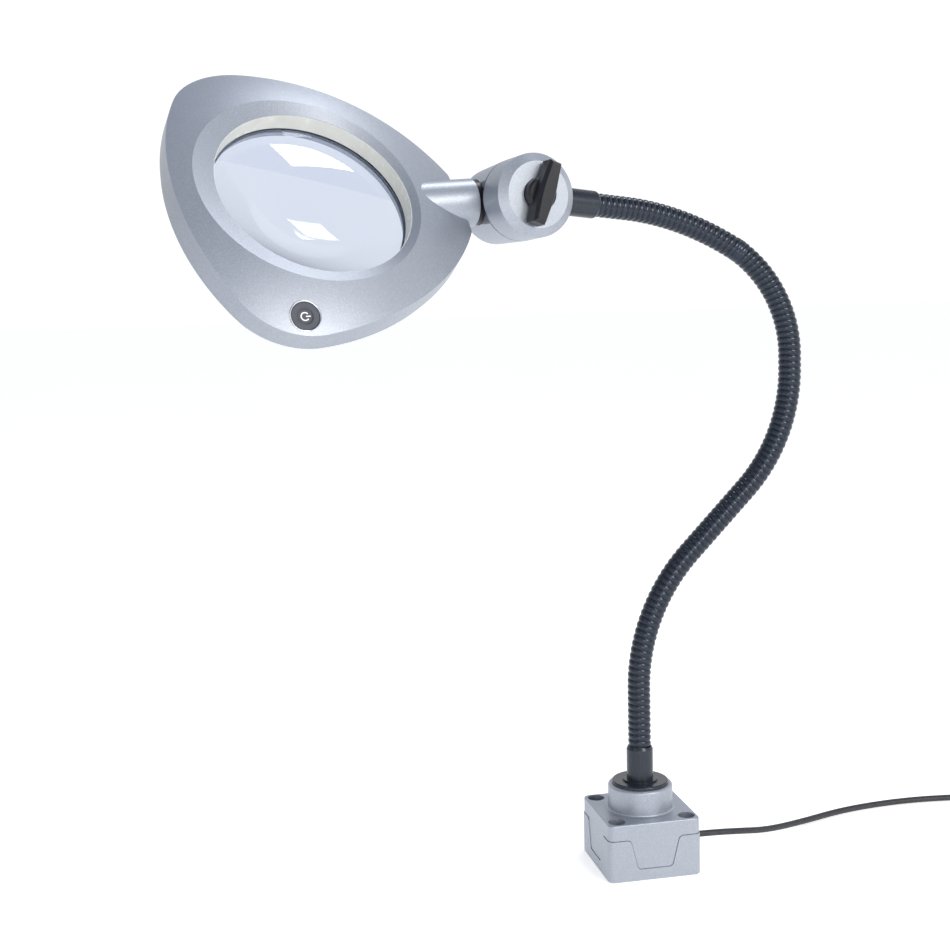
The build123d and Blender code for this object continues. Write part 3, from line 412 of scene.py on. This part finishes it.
def opal():
    """Opal diffuser over the lights."""
    cover = Nodes("opal_diffuser")
    haze = cover.noise(350, 4, 0.6)
    colour = cover.ramp(haze, [(0.3, (0.82, 0.83, 0.84)), (0.7, (0.92, 0.92, 0.93))])
    cover.link(colour, cover.shader.inputs["Base Color"])
    cover.set(Roughness=0.35)
    cover.link(cover.range(haze, 0.3, 0.45), cover.shader.inputs["Roughness"])
    cover.bump(haze, 0.01, 0.3)
    return cover.material


def lens_glass():
    """Clear polished glass; only a trace of smear in its gloss."""
    glass = Nodes("lens_glass")
    smear = glass.noise(45, 4, 0.6)
    glass.set(Roughness=0.0, IOR=1.5)
    glass.set(Transmission_Weight=1.0, Base_Color=(0.70, 0.75, 0.86, 1))
    glass.link(glass.range(smear, 0.0, 0.012, 0.45, 0.8), glass.shader.inputs["Roughness"])
    return glass.material


SILVER = powder_coat()
SATIN = black_satin()
NECK = neck_coat()
PLASTIC = black_plastic()
SLEEVE = cable_sleeve()
STEEL = zinc_steel()
WHITE = printed_white()
BOARD = board_lacquer()

paint(SILVER, "base_housing", "base_cover", "head_shell", "head_back_cover", "lens_retainer")
paint(SILVER, "joint_front_housing", "joint_rear_housing")
paint(SATIN, "lower_ferrule", "upper_ferrule", "neck_flange")
paint(PLASTIC, "wing_knob", "swivel_ring", "friction_disc", "push_switch", "cable_clip")
paint(SLEEVE, "cable_tail", "cable_grommet", "cable_plug", "neck_wire_lower", "neck_wire_upper")
paint(SLEEVE, "lens_gasket")
paint(STEEL, "base_cover_screws", "head_screws", "ferrule_lock_nut", "clamp_bolt", "spring_washer")
paint(STEEL, "swivel_spindle", "spindle_clip", "plug_barrel")
paint(BOARD, "led_board", "control_board", "terminal_block")
paint(brass(), "knob_insert")
paint(bright_rim(), "button_bezel")
paint(button_plastic(), "power_button")
paint(led_phosphor(), "leds")
paint(opal(), "light_diffuser")

# ---------------------------------------------------------------- cable


def coil_points(centre, start_angle, turns):
    """Neat coil: columns of turns side by side, layer on layer, as points in millimetres."""
    per_turn = 20
    shift_share = 0.2
    points = []
    count = round(turns * per_turn)
    for step in range(1, count + 1):
        turn = step / per_turn
        whole = int(turn)
        part = turn - whole
        layer, column = divmod(whole, COIL_COLUMNS)
        inward = layer % 2 == 0
        column_now = column if inward else COIL_COLUMNS - 1 - column
        radius = COIL_OUTER_TURN - 0.3 - column_now * COIL_TURN_SPACING
        height = CABLE_LEAD_END.z + layer * COIL_LAYER_RISE
        if part > 1 - shift_share:
            share = (part - (1 - shift_share)) / shift_share
            if column < COIL_COLUMNS - 1:
                radius += (-1 if inward else 1) * COIL_TURN_SPACING * share
            else:
                height += COIL_LAYER_RISE * share
        angle = start_angle + 2 * pi * turn
        points.append((centre.x + radius * cos(angle), centre.y + radius * sin(angle), height))
    return points


def make_cable():
    """Cable from the base along the bench, wound into a neat coil that ends in the plug."""
    last_run = (CABLE_LEAD_END - Vector(CABLE_ROUTE[-1])).normalized()
    centre = CABLE_LEAD_END + Vector((0, 0, 1)).cross(last_run) * COIL_OUTER_TURN
    start_angle = atan2(CABLE_LEAD_END.y - centre.y, CABLE_LEAD_END.x - centre.x)
    coil = coil_points(centre, start_angle, COIL_TURNS)
    points = [*CABLE_ROUTE, tuple(CABLE_LEAD_END), *coil, *CABLE_END]
    data = bpy.data.curves.new("power_cable", "CURVE")
    data.dimensions = "3D"
    data.bevel_depth = CABLE_DIAMETER / 2
    data.bevel_resolution = 5
    data.use_fill_caps = True
    spline = data.splines.new("NURBS")
    spline.points.add(len(points) - 1)
    for control, point in zip(spline.points, points):
        control.co = (*(Vector(point) * MM), 1)
    spline.order_u = 3
    spline.use_endpoint_u = True
    spline.resolution_u = 6
    cable = bpy.data.objects.new("power_cable", data)
    bpy.context.scene.collection.objects.link(cable)
    data.materials.append(SLEEVE)
    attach(cable, "base")
    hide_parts("cable_lead", "cable_coil", "cable_end")


make_cable()

# ---------------------------------------------------------------- gooseneck


def rounded_path(points, radii, step):
    """Points along straight runs joined by tangent arcs, evenly spaced."""
    line = [points[0].copy()]
    for before, corner, after, radius in zip(points, points[1:], points[2:], radii):
        back = (before - corner).normalized()
        ahead = (after - corner).normalized()
        turn = pi - back.angle(ahead)
        reach = radius * tan(turn / 2)
        arc_start = corner + back * reach
        arc_centre = corner + (back + ahead).normalized() * radius / cos(turn / 2)
        spoke = arc_start - arc_centre
        axis = back.cross(ahead).normalized() * -1
        steps = 40
        for index in range(steps + 1):
            line.append(arc_centre + Quaternion(axis, turn * index / steps) @ spoke)
    line.append(points[-1].copy())
    even = []
    travelled = 0.0
    target = 0.0
    for first, second in zip(line, line[1:]):
        length = (second - first).length
        while length > 0 and target <= travelled + length:
            even.append(first.lerp(second, (target - travelled) / length))
            target += step
        travelled += length
    return even


neck_corners = [Vector(corner) * MM for corner in NECK_CORNERS]
end_run = (NECK_END - neck_corners[-1]).normalized()
neck_finish = NECK_END - end_run * NECK_SOCKET
neck_line = rounded_path(
    [NECK_BASE, *neck_corners, neck_finish],
    [radius * MM for radius in NECK_BEND_RADII],
    RIB_PITCH / RIB_STEPS,
)


def neck_mesh(name, first, last):
    """Length of gooseneck between two places on its line, wound with rounded helical ribs."""
    mesh = bpy.data.meshes.new(name)
    build = bmesh.new()
    groove_shade_mask = build.verts.layers.float.new("groove_shade_mask")
    across = Vector((0, 1, 0))
    rings = []
    for index in range(len(neck_line)):
        ahead = neck_line[min(index + 1, len(neck_line) - 1)]
        behind = neck_line[max(index - 1, 0)]
        run = (ahead - behind).normalized()
        across = (across - run * across.dot(run)).normalized()
        if not first <= index <= last:
            continue
        side = run.cross(across)
        ring = []
        for corner in range(NECK_SIDES):
            angle = 2 * pi * corner / NECK_SIDES
            phase = index / RIB_STEPS + corner / NECK_SIDES
            crest = abs(sin(pi * phase)) ** 0.6
            radius = NECK_RADIUS - RIB_DEPTH * (1 - crest)
            spoke = across * cos(angle) + side * sin(angle)
            vertex = build.verts.new(neck_line[index] + spoke * radius)
            # Share of rib crest at each vertex; the coat paints shade into the grooves where this is
            # low.
            vertex[groove_shade_mask] = crest
            ring.append(vertex)
        rings.append(ring)
    for lower, upper in zip(rings, rings[1:]):
        for corner in range(NECK_SIDES):
            following = (corner + 1) % NECK_SIDES
            build.faces.new((lower[corner], lower[following], upper[following], upper[corner]))
    build.faces.new(list(reversed(rings[0])))
    build.faces.new(rings[-1])
    build.normal_update()
    build.to_mesh(mesh)
    build.free()
    smooth(mesh)
    mesh.materials.append(NECK)
    return new_object(name, mesh)


def nearest(place):
    """Index of the neck line's point closest to a place."""
    return min(range(len(neck_line)), key=lambda index: (neck_line[index] - place).length)


lean_place = Vector(joints["neck_lean"]["pos_m"])
raise_place = Vector(joints["neck_raise"]["pos_m"])
middle_run = (neck_corners[1] - neck_corners[0]).normalized()
half_lean = Vector((0, 0, BEND_SECTION / 2))
half_raise = middle_run * BEND_SECTION / 2
division = (nearest(lean_place + half_lean) + nearest(raise_place - half_raise)) // 2

gooseneck_lower = neck_mesh("gooseneck_lower", 0, division)
gooseneck_upper = neck_mesh("gooseneck_upper", division, len(neck_line) - 1)
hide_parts("gooseneck_foot", "gooseneck_lower_bend", "gooseneck_middle")
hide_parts("gooseneck_upper_bend", "gooseneck_top")
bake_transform(gooseneck_lower)
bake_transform(gooseneck_upper)

# ---------------------------------------------------------------- head's own frame

neck_direction = Vector(joints["head_swivel"]["axis"]).normalized()
tilt_axis = Vector(joints["head_tilt"]["axis"]).normalized()
swivel_normal = Quaternion(neck_direction, radians(HEAD_SWIVEL)) @ tilt_axis
head_x = neck_direction * -cos(radians(BOSS_RISE)) - swivel_normal * sin(radians(BOSS_RISE))
head_z = swivel_normal * cos(radians(BOSS_RISE)) - neck_direction * sin(radians(BOSS_RISE))
boss_end = Vector(joints["head_swivel"]["pos_m"]) + neck_direction * BOSS_END
head_origin = boss_end - head_x * BOSS_REACH + head_z * BOSS_DEPTH


def standing(origin, x_direction, z_direction):
    """Matrix of a frame with the given origin, X and Z."""
    y_direction = z_direction.cross(x_direction)
    turn = Matrix((x_direction, y_direction, z_direction)).transposed().to_4x4()
    return Matrix.Translation(origin) @ turn


head_frame = standing(head_origin, head_x.normalized(), head_z.normalized())

# ---------------------------------------------------------------- lens


def lens_profile():
    """Half section of the lens, from the pole of its front to the pole of its back."""
    curve = (LENS_RIM**2 + LENS_RISE**2) / (2 * LENS_RISE)
    steps = 28
    front = []
    for index in range(1, steps + 1):
        radius = LENS_RIM * index / steps
        front.append((radius, LENS_TOP + LENS_RISE - curve + sqrt(curve**2 - radius**2)))
    middle = LENS_TOP - LENS_EDGE / 2
    back = [(radius, 2 * middle - height) for radius, height in reversed(front)]
    edge = LENS_TOP - 0.4 * MM
    land = [(LENS_RADIUS - 0.4 * MM, LENS_TOP), (LENS_RADIUS, edge)]
    land += [(radius, 2 * middle - height) for radius, height in reversed(land)]
    return front + land + back


def make_lens():
    """Clear biconvex glass with a ground edge."""
    mesh = bpy.data.meshes.new("magnifier_glass")
    build = bmesh.new()
    profile = lens_profile()
    rings = []
    for radius, height in profile:
        ring = []
        for corner in range(ROUND_SIDES):
            angle = 2 * pi * corner / ROUND_SIDES
            ring.append(build.verts.new((radius * cos(angle), radius * sin(angle), height)))
        rings.append(ring)
    for outer, inner in zip(rings, rings[1:]):
        for corner in range(ROUND_SIDES):
            following = (corner + 1) % ROUND_SIDES
            build.faces.new((outer[corner], inner[corner], inner[following], outer[following]))
    front_pole = build.verts.new((0, 0, LENS_TOP + LENS_RISE))
    back_pole = build.verts.new((0, 0, LENS_TOP - LENS_EDGE - LENS_RISE))
    for corner in range(ROUND_SIDES):
        following = (corner + 1) % ROUND_SIDES
        build.faces.new((rings[0][corner], rings[0][following], front_pole))
        build.faces.new((rings[-1][following], rings[-1][corner], back_pole))
    bmesh.ops.recalc_face_normals(build, faces=build.faces)
    build.to_mesh(mesh)
    build.free()
    smooth(mesh)
    mesh.materials.append(lens_glass())
    glass = new_object("magnifier_glass", mesh)
    glass.matrix_world = head_frame @ Matrix.Translation((LENS_SHIFT, 0, 0))
    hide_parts("lens")
    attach(glass, "head")


make_lens()

# ---------------------------------------------------------------- pale lining of the lens opening


def opening_plastic():
    """Pale glossy lining of the opening, faintly clouded like moulded acrylic."""
    lining = Nodes("opening_lining")
    clouds = lining.noise(90, 3)
    colour = lining.ramp(clouds, [(0.3, (0.70, 0.71, 0.66)), (0.7, (0.78, 0.79, 0.74))])
    lining.link(colour, lining.shader.inputs["Base Color"])
    lining.set(Roughness=0.25)
    lining.link(lining.range(clouds, 0.2, 0.32), lining.shader.inputs["Roughness"])
    lining.bump(clouds, 0.02, 0.2)
    return lining.material


def tube(name, outer, inner, bottom, top):
    """Short ring standing on the head's own Z axis."""
    mesh = bpy.data.meshes.new(name)
    build = bmesh.new()
    rings = []
    for radius, height in ((outer, bottom), (outer, top), (inner, top), (inner, bottom)):
        ring = []
        for corner in range(ROUND_SIDES):
            angle = 2 * pi * corner / ROUND_SIDES
            ring.append(build.verts.new((radius * cos(angle), radius * sin(angle), height)))
        rings.append(ring)
    for index, ring in enumerate(rings):
        beside = rings[(index + 1) % len(rings)]
        for corner in range(ROUND_SIDES):
            following = (corner + 1) % ROUND_SIDES
            build.faces.new((ring[corner], ring[following], beside[following], beside[corner]))
    bmesh.ops.recalc_face_normals(build, faces=build.faces)
    build.to_mesh(mesh)
    build.free()
    return mesh


def make_opening_lining():
    """Thin pale ring against the wall of the lens opening."""
    outer = OPENING_RADIUS - 0.02 * MM
    mesh = tube("opening_lining", outer, outer - LINING_THICKNESS, LINING_FOOT, LINING_TOP)
    mesh.materials.append(opening_plastic())
    lining = new_object("opening_lining", mesh)
    lining.matrix_world = head_frame @ Matrix.Translation((LENS_SHIFT, 0, 0))
    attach(lining, "head")


make_opening_lining()


def make_seam_ring():
    """Black edge of the friction disc, seen as the dark seam between the halves of the tilt joint."""
    mesh = tube("joint_seam", SEAM_RADIUS, SEAM_RADIUS - 1.2 * MM, -SEAM_HALF_WIDTH, SEAM_HALF_WIDTH)
    mesh.materials.append(PLASTIC)
    seam = new_object("joint_seam", mesh)
    across = tilt_axis.orthogonal().normalized()
    seam.matrix_world = standing(Vector(joints["head_tilt"]["pos_m"]), across, tilt_axis)
    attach(seam, "neck_top")


make_seam_ring()

# ---------------------------------------------------------------- power symbol

button_normal = -Vector(joints["button_press"]["axis"]).normalized()


def ribbon(build, line, width, height, thickness):
    """Flat raised stroke along a line of points in the button's plane."""
    sections = []
    for index, point in enumerate(line):
        ahead = line[min(index + 1, len(line) - 1)]
        behind = line[max(index - 1, 0)]
        run = (ahead - behind).normalized()
        side = Vector((-run.y, run.x)) * width / 2
        section = []
        top = height + thickness
        for offset, level in ((side, height), (side, top), (-side, top), (-side, height)):
            spot = point + offset
            section.append(build.verts.new((spot.x, spot.y, level)))
        sections.append(section)
    for first, second in zip(sections, sections[1:]):
        for corner in range(4):
            following = (corner + 1) % 4
            build.faces.new((first[corner], first[following], second[following], second[corner]))
    build.faces.new(list(reversed(sections[0])))
    build.faces.new(sections[-1])


def make_power_symbol():
    """Generic power mark: an open ring with a bar through its gap."""
    mesh = bpy.data.meshes.new("power_symbol")
    build = bmesh.new()
    steps = 40
    ring = []
    for index in range(steps + 1):
        angle = SYMBOL_HALF_GAP + 2 * (pi - SYMBOL_HALF_GAP) * index / steps
        ring.append(Vector((SYMBOL_RADIUS * cos(angle), SYMBOL_RADIUS * sin(angle))))
    ribbon(build, ring, SYMBOL_STROKE, 0.0, SYMBOL_THICKNESS)
    bar = [Vector((0.5 * MM, 0)), Vector((3.1 * MM, 0))]
    ribbon(build, bar, SYMBOL_STROKE, 0.0, SYMBOL_THICKNESS)
    bmesh.ops.recalc_face_normals(build, faces=build.faces)
    build.to_mesh(mesh)
    build.free()
    mesh.materials.append(WHITE)
    symbol = new_object("power_symbol", mesh)
    symbol.matrix_world = symbol_frame
    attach(symbol, "button")


dome_drop = sqrt(DOME_RADIUS**2 - DISH_RADIUS**2)
button_height = sqrt(DOME_RADIUS**2 - BUTTON_PLACE[0] ** 2 - BUTTON_PLACE[1] ** 2) - dome_drop
button_base = head_frame @ (Vector((*BUTTON_PLACE, button_height)) * MM)
symbol_x = (head_x - button_normal * head_x.dot(button_normal)).normalized()
symbol_frame = standing(button_base + button_normal * CAP_FLOOR * MM, symbol_x, button_normal)
make_power_symbol()

# ---------------------------------------------------------------- floor, light

FLOOR_REACH = 12.0
FLOOR_GLOW = 0.5
HORIZON_STRENGTH = 1.08
LEFT_STRENGTH = 0.4


def make_floor():
    """Plain white floor that runs on without an edge in view."""
    mesh = bpy.data.meshes.new("floor")
    reach = FLOOR_REACH
    corners = [(-reach, -reach, 0), (reach, -reach, 0), (reach, reach, 0), (-reach, reach, 0)]
    mesh.from_pydata(corners, [], [(0, 1, 2, 3)])
    floor = new_object("floor", mesh)
    white = Nodes("floor_white")
    cloud = white.noise(3, 2)
    colour = white.ramp(cloud, [(0.3, (0.90, 0.90, 0.90)), (0.7, (0.92, 0.92, 0.92))])
    white.link(colour, white.shader.inputs["Base Color"])
    white.set(Roughness=0.8, Emission_Color=(1, 0.99, 0.965, 1), Emission_Strength=FLOOR_GLOW)
    mesh.materials.append(white.material)


def make_world():
    """White surround at the horizon, cooler and greyer overhead and dimmer to the left."""
    world = bpy.data.worlds.new("studio")
    world.use_nodes = True
    tree = world.node_tree
    background = tree.nodes["Background"]
    place = tree.nodes.new("ShaderNodeTexCoord")
    split = tree.nodes.new("ShaderNodeSeparateXYZ")
    ramp = tree.nodes.new("ShaderNodeValToRGB")
    tree.links.new(place.outputs["Generated"], split.inputs["Vector"])
    tree.links.new(split.outputs["Z"], ramp.inputs["Fac"])
    side = tree.nodes.new("ShaderNodeMapRange")
    side.inputs["From Min"].default_value = -0.95
    side.inputs["From Max"].default_value = -0.35
    side.inputs["To Min"].default_value = LEFT_STRENGTH
    side.inputs["To Max"].default_value = HORIZON_STRENGTH
    tree.links.new(split.outputs["X"], side.inputs["Value"])
    tree.links.new(side.outputs["Result"], background.inputs["Strength"])
    tree.links.new(ramp.outputs["Color"], background.inputs["Color"])
    elements = ramp.color_ramp.elements
    elements[0].position = 0.26
    elements[0].color = (1, 1, 1, 1)
    elements[1].position = 0.9
    elements[1].color = (0.23, 0.27, 0.36, 1)
    bpy.context.scene.world = world


def area_light(name, place, target, width, height, power, colour=(1, 1, 1)):
    """Rectangular soft light aimed at a point."""
    data = bpy.data.lights.new(name, "AREA")
    data.shape = "RECTANGLE"
    data.size = width
    data.size_y = height
    data.energy = power
    data.color = colour
    light = bpy.data.objects.new(name, data)
    light.location = place
    light.rotation_euler = (Vector(target) - Vector(place)).to_track_quat("-Z", "Y").to_euler()
    bpy.context.scene.collection.objects.link(light)


make_floor()
make_world()
area_light("key", (0.9, -1.9, 1.3), (-0.05, 0, 0.25), 1.0, 0.8, 24, (1, 0.97, 0.91))
area_light("window", (0.38, 0.48, 1.85), (-0.19, 0.01, 0.44), 0.43, 0.42, 6)
area_light("front_low", (-0.5, -1.7, 0.3), (0, 0, 0.05), 0.7, 0.3, 3.5, (1, 0.98, 0.95))
area_light("left_soft", (-1.8, -0.8, 1.0), (-0.1, 0, 0.3), 0.8, 1.2, 2, (0.9, 0.95, 1))
bpy.context.scene.view_settings.view_transform = "Standard"
bpy.context.scene.view_settings.look = "None"
